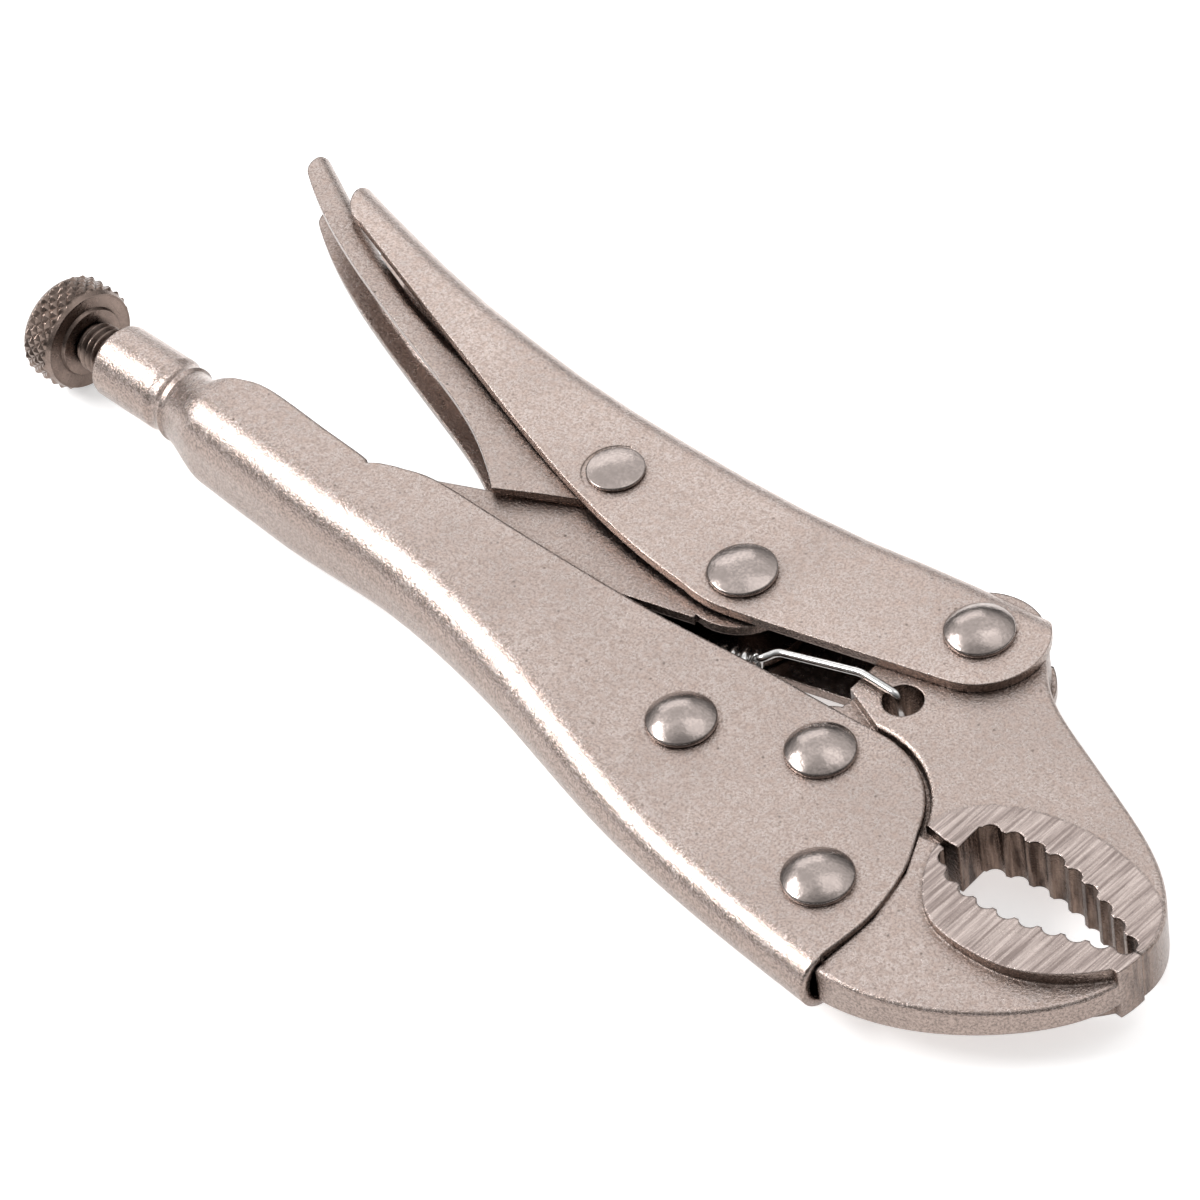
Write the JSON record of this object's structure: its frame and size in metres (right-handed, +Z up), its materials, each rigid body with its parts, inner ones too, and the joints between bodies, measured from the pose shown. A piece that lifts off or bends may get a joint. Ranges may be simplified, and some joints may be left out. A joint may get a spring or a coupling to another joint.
{
  "type": "locking pliers",
  "caption": "Small curved-jaw locking pliers with toggle link, release lever and knurled adjusting screw; jaws closed and locked",
  "frame": {"origin": "middle of the footprint with the pliers lying flat, on the plane they lie on", "axes": "+X along the adjusting screw towards the jaw tips, +Y from the fixed handle towards the lever handle, +Z up, parallel to the rivets, towards their domed heads"},
  "size_m": [0.1334, 0.046, 0.0107],
  "materials": {
    "handle_plating": "satin nickel plate on blasted sheet steel",
    "lever_plating": "satin nickel plate on blasted sheet steel",
    "forged_jaw": "satin nickel plate on a forging, gripping edges ground",
    "release_plating": "satin nickel plate on thin sheet steel",
    "link_plating": "satin nickel plate on pressed steel",
    "rivet_plating": "smooth nickel plate on upset rivets",
    "screw_steel": "dark nickel plate on turned steel",
    "knob_steel": "dark nickel plate on knurled steel",
    "spring_wire": "bright spring wire"
  },
  "bodies": {
    "frame": {"fixed_handle": "handle_plating", "fixed_jaw": "forged_jaw", "rear_jaw_rivet": "rivet_plating", "front_jaw_rivet": "rivet_plating", "jaw_pivot_rivet": "rivet_plating", "tension_spring": "spring_wire"},
    "jaw": {"movable_jaw": "forged_jaw"},
    "lever": {"lever_handle": "lever_plating", "lever_pivot_rivet": "rivet_plating", "link_pivot_rivet": "rivet_plating", "release_pivot_rivet": "rivet_plating"},
    "link": {"toggle_link": "link_plating"},
    "release": {"release_lever": "release_plating"},
    "screw": {"adjusting_screw": "screw_steel"},
    "knob": {"knurled_knob": "knob_steel"}
  },
  "joints": [
    {"name": "jaw_hinge", "type": "hinge", "parent": "frame", "child": "jaw", "pos_m": [0.03089, -0.00392, 0.00535], "axis": [0, 0, 1], "range_deg": [0, 24], "deforming": ["tension_spring"]},
    {"name": "lever_hinge", "type": "hinge", "parent": "jaw", "child": "lever", "pos_m": [0.03269, 0.01418, 0.00535], "axis": [0, 0, 1], "range_deg": [-60.3, 0]},
    {"name": "link_hinge", "type": "hinge", "parent": "lever", "child": "link", "pos_m": [0.01159, 0.00658, 0.00535], "axis": [0, 0, 1], "range_deg": [0, 60]},
    {"name": "release_hinge", "type": "hinge", "parent": "lever", "child": "release", "pos_m": [-0.00591, 0.00828, 0.00535], "axis": [0, 0, 1], "range_deg": [-3, 0]},
    {"name": "screw_slide", "type": "slide", "parent": "frame", "child": "screw", "axis": [1, 0, 0], "range_m": [-0.012, 0]},
    {"name": "knob_spin", "type": "hinge", "parent": "screw", "child": "knob", "pos_m": [-0.06481, -0.00727, 0.00535], "axis": [1, 0, 0], "range_deg": [-5401, 1]}
  ],
  "couplings": [
    {"joint": "lever_hinge", "follows": "jaw_hinge", "ratio": -2.5033},
    {"joint": "link_hinge", "follows": "jaw_hinge", "ratio": 2.4838},
    {"joint": "knob_spin", "follows": "screw_slide", "rad_per_m": 7854}
  ]
}
